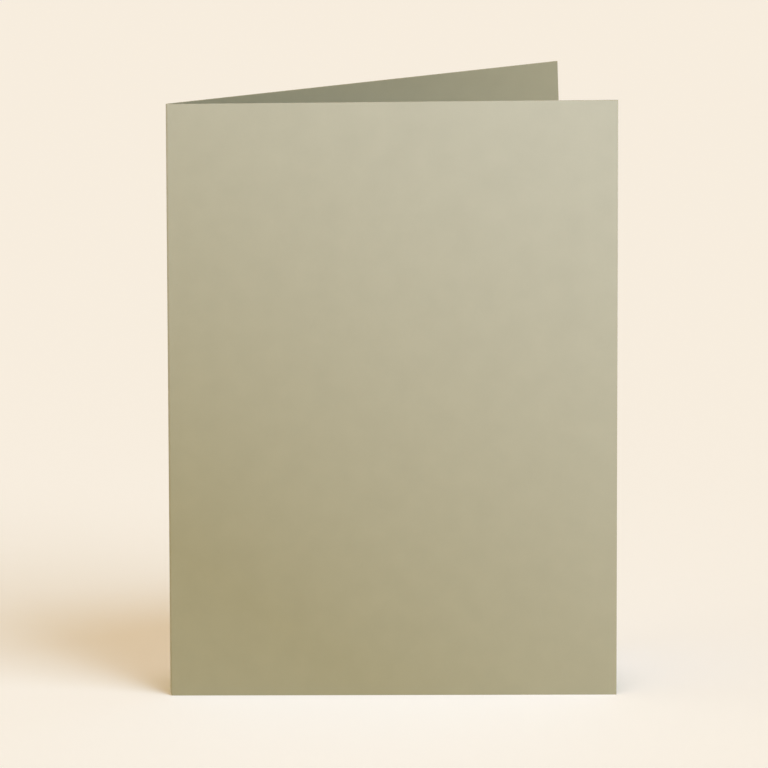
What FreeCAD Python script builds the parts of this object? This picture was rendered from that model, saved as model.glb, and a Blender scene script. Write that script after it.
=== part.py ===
# Folded greeting card: one sheet of card stock with a single fold, standing open on its lower edges.
#
# Frame, in millimetres: +Z is up and the table is Z = 0. The origin is in the middle of the card's box
# on the table. The fold stands upright at -X. The front leaf faces -Y, with its foot along X, and the
# back leaf opens away behind it, towards +Y.
#
# The sheet is one solid. Its V-shaped section is drawn at the foot and again at the top, where both
# leaves have swung a little further back, and the two sections are joined by straight rulings. Each
# free edge is therefore straight but leans, as on a card that springs open more at its top.

import FreeCAD, Part
import math
import os
import Sketcher

NODE = "card_sheet"

# Alias, value and meaning. Lengths are in millimetres and angles in degrees.
SIZES = (
    ("card_height", 158.75, "height of the card, along its fold"),
    ("leaf_width", 117.475, "width of the closed card, from the outside of the fold to the free edges"),
    ("sheet_thickness", 0.4, "thickness of the card stock"),
    ("fold_inner_radius", 0.2, "radius inside the fold, left by the scored line"),
    ("foot_opening_angle", 23.5, "angle between the two leaves along the table"),
    ("front_twist_angle", 2.2, "angle that the front leaf swings back from its foot to its top"),
    ("back_twist_angle", 5.5, "angle that the back leaf swings back from its foot to its top"),
    ("nip_width", 0.3, "depth of the small worn corner where the fold meets the table"),
    ("nip_height", 0.85, "height of that worn corner"),
)

# What follows from the driving dimensions, as expressions. Angles are measured from X, about the fold.
FOLD_OUTER_RADIUS = "(Sizes.fold_inner_radius + Sizes.sheet_thickness)"
LEAF_REACH = f"(Sizes.leaf_width - {FOLD_OUTER_RADIUS})"
FRONT_ANGLE_AT_TOP = "(Sizes.front_twist_angle * 1 deg)"
BACK_ANGLE_AT_FOOT = "(Sizes.foot_opening_angle * 1 deg)"
BACK_ANGLE_AT_TOP = "((Sizes.foot_opening_angle + Sizes.back_twist_angle) * 1 deg)"

# How a sketch names the points of its geometry, and its own X axis, whose start is the sketch's origin.
START, END, CENTRE = 1, 2, 3
X_AXIS = -1

doc = FreeCAD.newDocument("greeting_card")


def add_sizes():
    """The sheet of driving dimensions, one row each, with the meaning beside the value."""
    sheet = doc.addObject("Spreadsheet::Sheet", "Sizes")
    for row, (alias, value, meaning) in enumerate(SIZES, start=1):
        sheet.set(f"A{row}", alias)
        sheet.set(f"B{row}", str(value))
        sheet.set(f"C{row}", meaning)
        sheet.setAlias(f"B{row}", alias)
    doc.recompute()
    return sheet


def add_sketch(body, name, role):
    """An empty sketch on one of the body's own origin planes, such as XY_Plane."""
    sketch = body.newObject("Sketcher::SketchObject", name)
    plane = next(item for item in body.Origin.OriginFeatures if item.Role == role)
    sketch.AttachmentSupport = [(plane, "")]
    sketch.MapMode = "FlatFace"
    return sketch


def drive(sketch, constraint, label, expression):
    """Adds a constraint that takes its value from the driving dimensions."""
    index = sketch.addConstraint(constraint)
    sketch.renameConstraint(index, label)
    sketch.setExpression(f"Constraints.{label}", expression)


def on_leaf(angle, along, aside):
    """A point beside a leaf that leaves the fold's centre at this angle, aside counted to its left."""
    turn = math.radians(angle)
    return FreeCAD.Vector(
        along * math.cos(turn) - aside * math.sin(turn),
        along * math.sin(turn) + aside * math.cos(turn),
        0,
    )


def add_sheet_section(body, name, front_angle, back_angle, front_expression, back_expression):
    """The V-shaped section of the folded sheet, drawn round the centre of the fold.

    The angles place the first drawing and the expressions drive it. With no expression for the front
    leaf, that leaf is held along X.
    """
    inner_radius = sizes.fold_inner_radius
    outer_radius = inner_radius + sizes.sheet_thickness
    reach = sizes.leaf_width - outer_radius

    def fold_arc(radius):
        circle = Part.Circle(FreeCAD.Vector(0, 0, 0), FreeCAD.Vector(0, 0, 1), radius)
        return Part.ArcOfCircle(circle, math.radians(90 + back_angle), math.radians(270 + front_angle))

    front_foot, front_tip = (on_leaf(front_angle, along, -outer_radius) for along in (0, reach))
    front_inner_foot, front_inner_tip = (on_leaf(front_angle, along, -inner_radius) for along in (0, reach))
    back_inner_foot, back_inner_tip = (on_leaf(back_angle, along, inner_radius) for along in (0, reach))
    back_foot, back_tip = (on_leaf(back_angle, along, outer_radius) for along in (0, reach))

    sketch = add_sketch(body, name, "XY_Plane")
    (outer_fold, front_face, front_edge, front_inside,
     inner_fold, back_inside, back_edge, back_face) = sketch.addGeometry([
        fold_arc(outer_radius),
        Part.LineSegment(front_foot, front_tip),
        Part.LineSegment(front_tip, front_inner_tip),
        Part.LineSegment(front_inner_tip, front_inner_foot),
        fold_arc(inner_radius),
        Part.LineSegment(back_inner_foot, back_inner_tip),
        Part.LineSegment(back_inner_tip, back_tip),
        Part.LineSegment(back_tip, back_foot),
    ], False)
    sketch.addConstraint([
        Sketcher.Constraint("Coincident", outer_fold, CENTRE, X_AXIS, START),
        Sketcher.Constraint("Coincident", inner_fold, CENTRE, X_AXIS, START),
        Sketcher.Constraint("Tangent", outer_fold, END, front_face, START),
        Sketcher.Constraint("Coincident", front_face, END, front_edge, START),
        Sketcher.Constraint("Coincident", front_edge, END, front_inside, START),
        Sketcher.Constraint("Tangent", front_inside, END, inner_fold, END),
        Sketcher.Constraint("Tangent", inner_fold, START, back_inside, START),
        Sketcher.Constraint("Coincident", back_inside, END, back_edge, START),
        Sketcher.Constraint("Coincident", back_edge, END, back_face, START),
        Sketcher.Constraint("Tangent", back_face, END, outer_fold, START),
        Sketcher.Constraint("Perpendicular", front_face, front_edge),
        Sketcher.Constraint("Parallel", front_face, front_inside),
        Sketcher.Constraint("Perpendicular", back_face, back_edge),
        Sketcher.Constraint("Parallel", back_face, back_inside),
    ])
    drive(sketch, Sketcher.Constraint("Radius", inner_fold, inner_radius),
          "inner_radius", "Sizes.fold_inner_radius")
    drive(sketch, Sketcher.Constraint("Radius", outer_fold, outer_radius), "outer_radius", FOLD_OUTER_RADIUS)
    drive(sketch, Sketcher.Constraint("Distance", front_face, reach), "front_reach", LEAF_REACH)
    drive(sketch, Sketcher.Constraint("Distance", back_face, reach), "back_reach", LEAF_REACH)
    drive(sketch, Sketcher.Constraint("Angle", back_inside, math.radians(back_angle)),
          "back_angle", back_expression)
    if front_expression:
        drive(sketch, Sketcher.Constraint("Angle", front_face, math.radians(front_angle)),
              "front_angle", front_expression)
    else:
        sketch.addConstraint(Sketcher.Constraint("Horizontal", front_face))
    return sketch


def add_folded_sheet(body):
    """The whole sheet: a ruled loft from its section at the foot to its section at the top."""
    opening_at_top = sizes.foot_opening_angle + sizes.back_twist_angle
    foot = add_sheet_section(body, "FootSection", 0, sizes.foot_opening_angle, None, BACK_ANGLE_AT_FOOT)
    top = add_sheet_section(body, "TopSection", sizes.front_twist_angle, opening_at_top,
                            FRONT_ANGLE_AT_TOP, BACK_ANGLE_AT_TOP)
    top.setExpression("AttachmentOffset.Base.z", "Sizes.card_height")
    loft = body.newObject("PartDesign::AdditiveLoft", "FoldedSheet")
    loft.Profile = foot
    loft.Sections = [top]
    loft.Ruled = True
    return loft


def add_worn_corner(body):
    """A small slanting nip off the foot of the fold, where the card has been stood down on it."""
    fold_outside = -sizes.fold_inner_radius - sizes.sheet_thickness
    corner = FreeCAD.Vector(fold_outside, 0, 0)
    on_foot = FreeCAD.Vector(fold_outside + sizes.nip_width, 0, 0)
    on_fold = FreeCAD.Vector(fold_outside, sizes.nip_height, 0)

    sketch = add_sketch(body, "NipSection", "XZ_Plane")
    along_foot, slant, along_fold = sketch.addGeometry([
        Part.LineSegment(corner, on_foot),
        Part.LineSegment(on_foot, on_fold),
        Part.LineSegment(on_fold, corner),
    ], False)
    sketch.addConstraint([
        Sketcher.Constraint("Coincident", along_foot, END, slant, START),
        Sketcher.Constraint("Coincident", slant, END, along_fold, START),
        Sketcher.Constraint("Coincident", along_fold, END, along_foot, START),
        Sketcher.Constraint("PointOnObject", along_foot, START, X_AXIS),
        Sketcher.Constraint("Horizontal", along_foot),
        Sketcher.Constraint("Vertical", along_fold),
    ])
    drive(sketch, Sketcher.Constraint("DistanceX", along_foot, START, X_AXIS, START, -fold_outside),
          "fold_outside", FOLD_OUTER_RADIUS)
    drive(sketch, Sketcher.Constraint("Distance", along_foot, sizes.nip_width), "width", "Sizes.nip_width")
    drive(sketch, Sketcher.Constraint("Distance", along_fold, sizes.nip_height), "height", "Sizes.nip_height")
    pocket = body.newObject("PartDesign::Pocket", "WornCorner")
    pocket.Profile = sketch
    pocket.Type = "ThroughAll"
    pocket.Midplane = True
    return pocket


def centre_on_origin(body):
    """Moves the card so that the middle of its box on the table is at the origin.

    The box runs in X from the outside of the fold to the front leaf's free edge, and in Y from the
    front leaf's face to the back leaf's furthest corner, which is at the top.
    """
    furthest_back = (f"({LEAF_REACH} * sin{BACK_ANGLE_AT_TOP}"
                     f" + {FOLD_OUTER_RADIUS} * cos{BACK_ANGLE_AT_TOP})")
    body.setExpression("Placement.Base.x", f"{FOLD_OUTER_RADIUS} - Sizes.leaf_width / 2")
    body.setExpression("Placement.Base.y", f"({FOLD_OUTER_RADIUS} - {furthest_back}) / 2")


def check(body, whole_sheet):
    """Stops the build if an object failed, the sheet isn't one sound solid or the nip cut nothing."""
    for item in doc.Objects:
        if "Invalid" in item.State or "Error" in item.State:
            raise RuntimeError(f"{item.Label} failed: {item.State}")
    shape = body.Shape
    if shape.isNull() or not shape.isValid() or len(shape.Solids) != 1:
        raise RuntimeError(f"{body.Label} is not one valid solid")
    if shape.Volume >= whole_sheet.Shape.Volume:
        raise RuntimeError("the worn corner removed nothing")


sizes = add_sizes()
card = doc.addObject("PartDesign::Body", NODE)
card.Label = NODE
folded_sheet = add_folded_sheet(card)
add_worn_corner(card)
centre_on_origin(card)
doc.recompute()
check(card, folded_sheet)

os.makedirs("parts", exist_ok=True)
card.Shape.exportStep(os.path.join("parts", f"{card.Label}.step"))
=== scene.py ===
"""Looks of the folded greeting card: its card stock, the studio and the camera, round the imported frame.

Lengths are in metres, in the card's own frame: +Z is up, the table is Z = 0, the fold stands at -X and
the front leaf faces -Y.
"""

import math

import bpy
from mathutils import Matrix, Vector, noise


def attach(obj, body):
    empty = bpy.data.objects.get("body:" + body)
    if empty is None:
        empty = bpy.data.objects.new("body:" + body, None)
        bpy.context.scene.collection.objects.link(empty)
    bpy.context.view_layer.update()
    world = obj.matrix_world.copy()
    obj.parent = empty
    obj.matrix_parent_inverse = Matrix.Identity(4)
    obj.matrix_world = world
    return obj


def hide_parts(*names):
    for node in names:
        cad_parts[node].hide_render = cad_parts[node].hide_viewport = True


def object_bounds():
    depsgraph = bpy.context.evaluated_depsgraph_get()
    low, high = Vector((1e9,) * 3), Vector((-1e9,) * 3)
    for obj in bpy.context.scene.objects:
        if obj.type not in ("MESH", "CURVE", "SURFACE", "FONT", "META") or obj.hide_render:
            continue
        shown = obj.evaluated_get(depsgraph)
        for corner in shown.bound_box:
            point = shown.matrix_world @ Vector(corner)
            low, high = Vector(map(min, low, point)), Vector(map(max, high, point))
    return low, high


MM = 0.001

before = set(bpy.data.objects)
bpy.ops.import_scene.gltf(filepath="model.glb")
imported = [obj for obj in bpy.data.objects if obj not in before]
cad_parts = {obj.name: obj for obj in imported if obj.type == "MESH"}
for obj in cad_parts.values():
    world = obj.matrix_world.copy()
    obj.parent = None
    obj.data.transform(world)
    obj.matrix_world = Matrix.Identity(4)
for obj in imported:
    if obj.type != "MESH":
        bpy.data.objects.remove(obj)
cad_low, cad_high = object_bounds()

# The folded sheet, with the overall width and height taken from the frame
CARD_HEIGHT = cad_high.z - cad_low.z
LEAF_WIDTH = cad_high.x - cad_low.x
SHEET_THICKNESS = 0.4 * MM
FOLD_INNER_RADIUS = 0.2 * MM
FOLD_OUTER_RADIUS = FOLD_INNER_RADIUS + SHEET_THICKNESS
LEAF_REACH = LEAF_WIDTH - FOLD_OUTER_RADIUS
FOLD_CENTRE = Vector((cad_low.x + FOLD_OUTER_RADIUS, cad_low.y + FOLD_OUTER_RADIUS, cad_low.z))

# Directions of the front and the back leaf about the fold, from X, at the foot and at the top
FOOT_ANGLES = (0.0, math.radians(23.5))
TOP_ANGLES = (math.radians(2.2), math.radians(29.0))

# The small worn corner at the foot of the fold. The rows above it ease up with it.
NIP_WIDTH = 0.3 * MM
NIP_HEIGHT = 0.85 * MM
NIP_EASED_OVER = 4 * MM

# How finely the sheet is divided, and how far its cut edges are rounded. The steps are rows of points
# beside a cut edge, as shares of its rounding.
LEAF_DIVISIONS = 44
FOLD_DIVISIONS = 20
HEIGHT_DIVISIONS = 200
FOLD_MARGIN = 0.15 * MM
EDGE_ROUNDING = 0.06 * MM
EDGE_STEPS = (0.0, 0.3, 0.65, 1.0, 2.0)
CUT_EDGE_DEPTH = 0.35 * EDGE_ROUNDING

# Gentle unevenness of the stock, along the sheet's normal
COCKLE_DEPTH = 0.03 * MM
COCKLE_LENGTH = 55 * MM
COCKLE_SEED = 3.7
FOLD_WAVE_DEPTH = 0.015 * MM
FOLD_WAVE_LENGTH = 3 * MM
FOLD_WAVE_SEED = 9.1

# The stock is dyed through, so its cut edge and the strained fibres on its fold are only a little paler
STOCK_COLOUR = (0.468, 0.434, 0.287)
PALE_STOCK_COLOUR = (0.62, 0.59, 0.47)
CUT_EDGE_PALENESS = 0.2
FOLD_PALENESS = 0.3
STOCK_SPECULAR = 0.3
STOCK_SHEEN = 0.08
STOCK_SHEEN_ROUGHNESS = 0.5

# Its surface: clouding, a fine tooth, short fibres, and pale flecks on the fold
MOTTLE = 0.03
CLOUD_LENGTH = 7 * MM
CLOUD_SHARE = 0.7
CLOUD_DETAIL = 3.0
TOOTH_LENGTH = 0.26 * MM
TOOTH_DEPTH = 0.012 * MM
TOOTH_ROUGHNESS = (0.78, 0.9)
TOOTH_DETAIL = 3.0
FIBRE_LENGTH = 2.2 * MM
FIBRE_WIDTH = 0.12 * MM
FIBRE_DIRECTIONS = (12, 75, 138)
FIBRE_PALENESS = 0.12
FIBRE_LIFT = 0.25
FIBRE_DETAIL = 1.0
FLECK_LENGTH = 2 * MM
FLECK_WIDTH = 0.33 * MM
FLECK_DETAIL = 2.0

# Where most of a noise's values lie, and the parts of it that count for tone, fibres and flecks
NOISE_SPAN = (0.3, 0.7)
TONE_SPAN = (0.3, 0.74)
FIBRE_SPAN = (0.64, 0.72)
FLECK_SPAN = (0.45, 0.7)

OUTSIDE, INSIDE = 0, 1


def stations():
    """Places along the unfolded sheet, from the front leaf's free edge round the fold to the back's.

    Each is a kind and a number: the distance from the fold on a leaf, or the share of the bend.
    """
    rounded = [LEAF_REACH - step * EDGE_ROUNDING for step in EDGE_STEPS]
    even = [LEAF_REACH * (1 - n / LEAF_DIVISIONS) for n in range(1, LEAF_DIVISIONS)]
    inwards = rounded + even + [FOLD_MARGIN]
    front = [("front", distance) for distance in inwards]
    fold = [("fold", n / FOLD_DIVISIONS) for n in range(FOLD_DIVISIONS + 1)]
    back = [("back", distance) for distance in reversed(inwards)]
    return front + fold + back


def heights():
    """Heights of the rows of points, closer together at the rounded edges."""
    low = [step * EDGE_ROUNDING for step in EDGE_STEPS]
    even = [CARD_HEIGHT * n / HEIGHT_DIVISIONS for n in range(1, HEIGHT_DIVISIONS)]
    return low + even + [CARD_HEIGHT - z for z in reversed(low)]


def to_free_edge(station):
    """How far the station lies from its leaf's free edge."""
    kind, value = station
    return LEAF_REACH if kind == "fold" else LEAF_REACH - value


def to_foot_or_top(height):
    return min(height, CARD_HEIGHT - height)


def unfolded(station):
    """The station's distance from the middle of the fold, negative on the front leaf."""
    kind, value = station
    half_bend = math.pi / 2 * (FOLD_INNER_RADIUS + SHEET_THICKNESS / 2)
    if kind == "fold":
        return (2 * value - 1) * half_bend
    return (value + half_bend) * (-1 if kind == "front" else 1)


def turned(angle, along, aside):
    """A point so far along a direction from the fold's centre line, and so far to the left of it."""
    return Vector((
        along * math.cos(angle) - aside * math.sin(angle),
        along * math.sin(angle) + aside * math.cos(angle),
    ))


def on_section(station, angles, radius):
    """A point of the level section at these leaf angles, this far out from the fold's centre line."""
    kind, value = station
    front, back = angles
    if kind == "front":
        return turned(front, value, -radius)
    if kind == "back":
        return turned(back, value, radius)
    bend = math.pi - (back - front)
    return turned(front - math.pi / 2 - value * bend, radius, 0)


def rounding(distance_along, distance_up):
    """How far the face draws in near a cut edge, as a quarter round."""
    short = [max(0.0, EDGE_ROUNDING - distance) for distance in (distance_along, distance_up)]
    across = min(EDGE_ROUNDING, math.hypot(*short))
    return EDGE_ROUNDING - math.sqrt(max(0.0, EDGE_ROUNDING ** 2 - across ** 2))


def near_fold(station, width):
    """1 in the middle of the fold, falling to nothing a few such widths away from it."""
    return math.exp(-(unfolded(station) / width) ** 2)


def waviness(station, height, depth, length, seed):
    """Smooth waves over the sheet, of about this depth and length."""
    return depth * noise.noise(Vector((unfolded(station) / length, height / length, seed)))


def unevenness(station, height):
    """How far the sheet stands off its true form here: a slow cockle, and small waves along the fold."""
    cockle = waviness(station, height, COCKLE_DEPTH, COCKLE_LENGTH, COCKLE_SEED)
    wave = waviness(station, height, FOLD_WAVE_DEPTH, FOLD_WAVE_LENGTH, FOLD_WAVE_SEED)
    return cockle + near_fold(station, 2 * FOLD_OUTER_RADIUS) * wave


def sheet_point(station, height, side):
    """A point on the outside or the inside of the sheet, at this station and height."""
    drawn_in = rounding(to_free_edge(station), to_foot_or_top(height))
    radius = FOLD_OUTER_RADIUS - drawn_in if side == OUTSIDE else FOLD_INNER_RADIUS + drawn_in
    radius += unevenness(station, height)
    share = height / CARD_HEIGHT
    flat = on_section(station, FOOT_ANGLES, radius).lerp(on_section(station, TOP_ANGLES, radius), share)
    nip = max(0.0, NIP_HEIGHT * (1 - (flat.x + FOLD_OUTER_RADIUS) / NIP_WIDTH))
    raised = nip * max(0.0, 1 - height / NIP_EASED_OVER)
    return FOLD_CENTRE + Vector((flat.x, flat.y, height + raised))


def sheet_faces(column_count, row_count):
    """The faces of the closed sheet, whose points go up each column, outside first and then inside."""
    def point(side, column, row):
        return (side * column_count + column) * row_count + row

    def cut_face(first, second):
        return [point(OUTSIDE, *first), point(OUTSIDE, *second),
                point(INSIDE, *second), point(INSIDE, *first)]

    last, top = column_count - 1, row_count - 1
    faces = []
    for column in range(last):
        for row in range(top):
            around = ((column, row), (column, row + 1), (column + 1, row + 1), (column + 1, row))
            faces.append([point(OUTSIDE, *corner) for corner in around])
            faces.append([point(INSIDE, *corner) for corner in reversed(around)])
        faces.append(cut_face((column, 0), (column + 1, 0)))
        faces.append(cut_face((column + 1, top), (column, top)))
    for row in range(top):
        faces.append(cut_face((0, row + 1), (0, row)))
        faces.append(cut_face((last, row), (last, row + 1)))
    return faces


def build_sheet():
    """The folded sheet as one closed mesh, with its cut edges and its fold marked for the material."""
    columns, rows = stations(), heights()
    points, cut_edge, fold_line = [], [], []
    for side in (OUTSIDE, INSIDE):
        for station in columns:
            strained = near_fold(station, FOLD_OUTER_RADIUS) if side == OUTSIDE else 0.0
            for height in rows:
                points.append(sheet_point(station, height, side))
                to_cut_edge = min(to_free_edge(station), to_foot_or_top(height))
                cut_edge.append(1.0 if to_cut_edge < CUT_EDGE_DEPTH else 0.0)
                fold_line.append(strained)

    mesh = bpy.data.meshes.new("folded_sheet")
    mesh.from_pydata(points, [], sheet_faces(len(columns), len(rows)))
    for name, values in (("cut_edge", cut_edge), ("fold_line", fold_line)):
        mesh.attributes.new(name, "FLOAT", "POINT").data.foreach_set("value", values)
    mesh.validate()
    mesh.shade_smooth()
    piece = bpy.data.objects.new("folded_sheet", mesh)
    bpy.context.scene.collection.objects.link(piece)
    return piece


def add_node(tree, kind, inputs=None, **settings):
    """A shader node with its settings and its unlinked or linked inputs."""
    node = tree.nodes.new(kind)
    for key, value in settings.items():
        setattr(node, key, value)
    for key, value in (inputs or {}).items():
        if isinstance(value, bpy.types.NodeSocket):
            tree.links.new(value, node.inputs[key])
        else:
            node.inputs[key].default_value = value
    return node


def new_material(name):
    """A material with no nodes yet, and its tree."""
    material = bpy.data.materials.new(name)
    material.use_nodes = True
    material.node_tree.nodes.clear()
    return material, material.node_tree


def noise_node(tree, place, scale, detail):
    """Noise from 0 to 1, of one size all ways or drawn out by a scale for each axis."""
    if isinstance(scale, tuple):
        place = add_node(tree, "ShaderNodeMapping", {"Vector": place, "Scale": scale}).outputs[0]
        scale = 1.0
    inputs = {"Vector": place, "Scale": scale, "Detail": detail}
    return add_node(tree, "ShaderNodeTexNoise", inputs).outputs["Fac"]


def math_node(tree, operation, *values):
    return add_node(tree, "ShaderNodeMath", dict(enumerate(values)), operation=operation).outputs[0]


def range_node(tree, value, span, to_span=(0.0, 1.0)):
    """Carries one span of values over to another, and holds what lies past it at its ends."""
    return add_node(tree, "ShaderNodeMapRange", {
        "Value": value,
        "From Min": span[0],
        "From Max": span[1],
        "To Min": to_span[0],
        "To Max": to_span[1],
    }).outputs[0]


def mix_colour(tree, factor, first, second):
    inputs = {"Factor": factor, "A": first, "B": second}
    return add_node(tree, "ShaderNodeMix", inputs, data_type="RGBA").outputs["Result"]


def marked(tree, attribute):
    return add_node(tree, "ShaderNodeAttribute", attribute_name=attribute).outputs["Fac"]


def fibres(tree, place, direction):
    """Short slivers that lie this many degrees round from upright on the leaves."""
    rotation = (0, math.radians(direction), 0)
    aligned = add_node(tree, "ShaderNodeMapping", {"Vector": place, "Rotation": rotation}).outputs[0]
    scale = (1 / FIBRE_WIDTH, 1 / FIBRE_LENGTH, 1 / FIBRE_LENGTH)
    streaks = noise_node(tree, aligned, scale, FIBRE_DETAIL)
    return range_node(tree, streaks, FIBRE_SPAN)


def card_stock():
    """Uncoated card stock, dyed through: a fine tooth, faint clouding and short fibres."""
    material, tree = new_material("card_stock")
    place = add_node(tree, "ShaderNodeTexCoord").outputs["Object"]
    clouds = noise_node(tree, place, 1 / CLOUD_LENGTH, CLOUD_DETAIL)
    tooth = noise_node(tree, place, 1 / TOOTH_LENGTH, TOOTH_DETAIL)
    slivers = 0.0
    for direction in FIBRE_DIRECTIONS:
        slivers = math_node(tree, "MAXIMUM", slivers, fibres(tree, place, direction))

    from_tooth = math_node(tree, "MULTIPLY", tooth, 1 - CLOUD_SHARE)
    mottle = math_node(tree, "MULTIPLY_ADD", clouds, CLOUD_SHARE, from_tooth)
    tone = math_node(tree, "MULTIPLY_ADD", slivers, FIBRE_PALENESS, mottle)
    dark = tuple(c * (1 - MOTTLE) for c in STOCK_COLOUR) + (1,)
    light = tuple(c * (1 + MOTTLE) for c in STOCK_COLOUR) + (1,)
    colour = mix_colour(tree, range_node(tree, tone, TONE_SPAN), dark, light)

    scale = (1 / FLECK_WIDTH, 1 / FLECK_WIDTH, 1 / FLECK_LENGTH)
    flecks = noise_node(tree, place, scale, FLECK_DETAIL)
    fold_paleness = math_node(tree, "MULTIPLY", marked(tree, "fold_line"),
                              range_node(tree, flecks, FLECK_SPAN, (0.0, FOLD_PALENESS)))
    edge_paleness = math_node(tree, "MULTIPLY", marked(tree, "cut_edge"),
                              range_node(tree, tooth, NOISE_SPAN, (0.0, CUT_EDGE_PALENESS)))
    paleness = math_node(tree, "MAXIMUM", fold_paleness, edge_paleness)
    colour = mix_colour(tree, paleness, colour, PALE_STOCK_COLOUR + (1,))

    height = math_node(tree, "MULTIPLY_ADD", slivers, FIBRE_LIFT, tooth)
    bump = add_node(tree, "ShaderNodeBump", {"Height": height, "Strength": 1.0, "Distance": TOOTH_DEPTH})
    shader = add_node(tree, "ShaderNodeBsdfPrincipled", {
        "Base Color": colour,
        "Normal": bump.outputs["Normal"],
        "Roughness": range_node(tree, tooth, NOISE_SPAN, TOOTH_ROUGHNESS),
        "Specular IOR Level": STOCK_SPECULAR,
        "Sheen Weight": STOCK_SHEEN,
        "Sheen Roughness": STOCK_SHEEN_ROUGHNESS,
    })
    add_node(tree, "ShaderNodeOutputMaterial", {"Surface": shader.outputs[0]})
    return material


# The studio
FLOOR_RADIUS = 6.0
FLOOR_SIDES = 128
FLOOR_COLOUR = (1.0, 1.0, 1.0)
BACKDROP_COLOUR = (0.92, 0.85, 0.75)
SURROUND_COLOUR = (0.355, 0.242, 0.030)

# The suns: name, colour, degrees off +X towards -Y, degrees above the floor, and width in degrees.
# A colour of 1 lights a surface that faces the sun as much as a white surround would.
SUNS = (
    ("front_key", (0.059, 0.094, 0.124), 60, 62, 16),
    ("side_key", (0.249, 0.323, 0.401), 37.6, 46.9, 39.1),
    ("overhead", (0.345, 0.288, 0.299), 90, 86, 12),
)

# The glows: name, colour, place and aim. They light the card alone. The front and the back one are turned
# almost edge on to it, so that their light fades across its faces. The front one hangs low, so that hardly
# any of its light passes over the front leaf to the inside of the back one.
GLOW_SIZE = 0.3
GLOW_POWER = 100.0
GLOWS = (
    ("front_glow", (0.478, 0.565, 0.915), (-0.109, -1.219, 0.087), (0.59, 0.006, 0.8)),
    ("inside_glow", (0.014, 0.027, 0.066), (1.31, 0.115, 0.56), (-1.31, -0.115, -0.48)),
    ("back_glow", (0.31, 0.38, 0.54), (-0.6, 1.2, 0.44), (0.3, -0.35, 0.88)),
)


def build_floor():
    material, tree = new_material("floor")
    diffuse = add_node(tree, "ShaderNodeBsdfDiffuse", {"Color": FLOOR_COLOUR + (1,)})
    add_node(tree, "ShaderNodeOutputMaterial", {"Surface": diffuse.outputs[0]})
    bpy.ops.mesh.primitive_circle_add(vertices=FLOOR_SIDES, radius=FLOOR_RADIUS, fill_type="NGON")
    floor = bpy.context.object
    floor.name = "floor"
    floor.data.materials.append(material)


def build_surround():
    """An even surround that lights the card, with the backdrop's own colour where the camera sees it."""
    world = bpy.data.worlds.new("surround")
    world.use_nodes = True
    tree = world.node_tree
    tree.nodes.clear()
    seen = add_node(tree, "ShaderNodeLightPath").outputs["Is Camera Ray"]
    colour = mix_colour(tree, seen, SURROUND_COLOUR + (1,), BACKDROP_COLOUR + (1,))
    background = add_node(tree, "ShaderNodeBackground", {"Color": colour})
    add_node(tree, "ShaderNodeOutputWorld", {"Surface": background.outputs[0]})
    bpy.context.scene.world = world


def add_lamp(name, kind, colour, energy, place, aim, **settings):
    """A lamp at this place that shines along aim."""
    data = bpy.data.lights.new(name, kind)
    data.color = colour
    data.energy = energy
    for key, value in settings.items():
        setattr(data, key, value)
    lamp = bpy.data.objects.new(name, data)
    lamp.location = place
    lamp.rotation_euler = Vector(aim).to_track_quat("-Z", "Y").to_euler()
    lamp.visible_camera = False
    bpy.context.scene.collection.objects.link(lamp)
    return lamp


def add_sun(name, colour, off_side, elevation, width):
    """A soft sun, so many degrees off +X towards -Y and above the floor, and so many degrees wide."""
    off_side, elevation = math.radians(off_side), math.radians(elevation)
    towards = Vector((
        math.cos(elevation) * math.cos(off_side),
        -math.cos(elevation) * math.sin(off_side),
        math.sin(elevation),
    ))
    add_lamp(name, "SUN", colour, math.pi, towards, -towards, angle=math.radians(width))


def build_lamps(card):
    for sun in SUNS:
        add_sun(*sun)
    lit_by_glows = bpy.data.collections.new("lit_by_glows")
    lit_by_glows.objects.link(card)
    for name, colour, place, aim in GLOWS:
        glow = add_lamp(name, "AREA", colour, GLOW_POWER, place, aim, shape="DISK", size=GLOW_SIZE)
        glow.light_linking.receiver_collection = lit_by_glows


# The camera, placed as the photograph shows the card
CAMERA_DISTANCE = 2.247
CAMERA_ELEVATION = math.radians(13.221)
CAMERA_ROLL = math.radians(0.128)
CAMERA_TARGET = Vector((-2.32, 0.0, 77.39)) * MM
CAMERA_LENS = 398.0
CAMERA_SEES_FROM = 0.1
CAMERA_SEES_TO = 50.0


def build_camera():
    data = bpy.data.cameras.new("camera")
    data.lens = CAMERA_LENS
    data.clip_start = CAMERA_SEES_FROM
    data.clip_end = CAMERA_SEES_TO
    camera = bpy.data.objects.new("camera", data)
    back = Vector((0, -math.cos(CAMERA_ELEVATION), math.sin(CAMERA_ELEVATION)))
    camera.location = CAMERA_TARGET + back * CAMERA_DISTANCE
    level = back.to_track_quat("Z", "Y").to_matrix()
    camera.rotation_euler = (level @ Matrix.Rotation(-CAMERA_ROLL, 3, "Z")).to_euler()
    bpy.context.scene.collection.objects.link(camera)
    bpy.context.scene.camera = camera


sheet = build_sheet()
sheet.data.materials.append(card_stock())
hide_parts("card_sheet")
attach(sheet, "root")

build_floor()
build_surround()
build_lamps(sheet)
build_camera()
bpy.context.scene.view_settings.view_transform = "Standard"
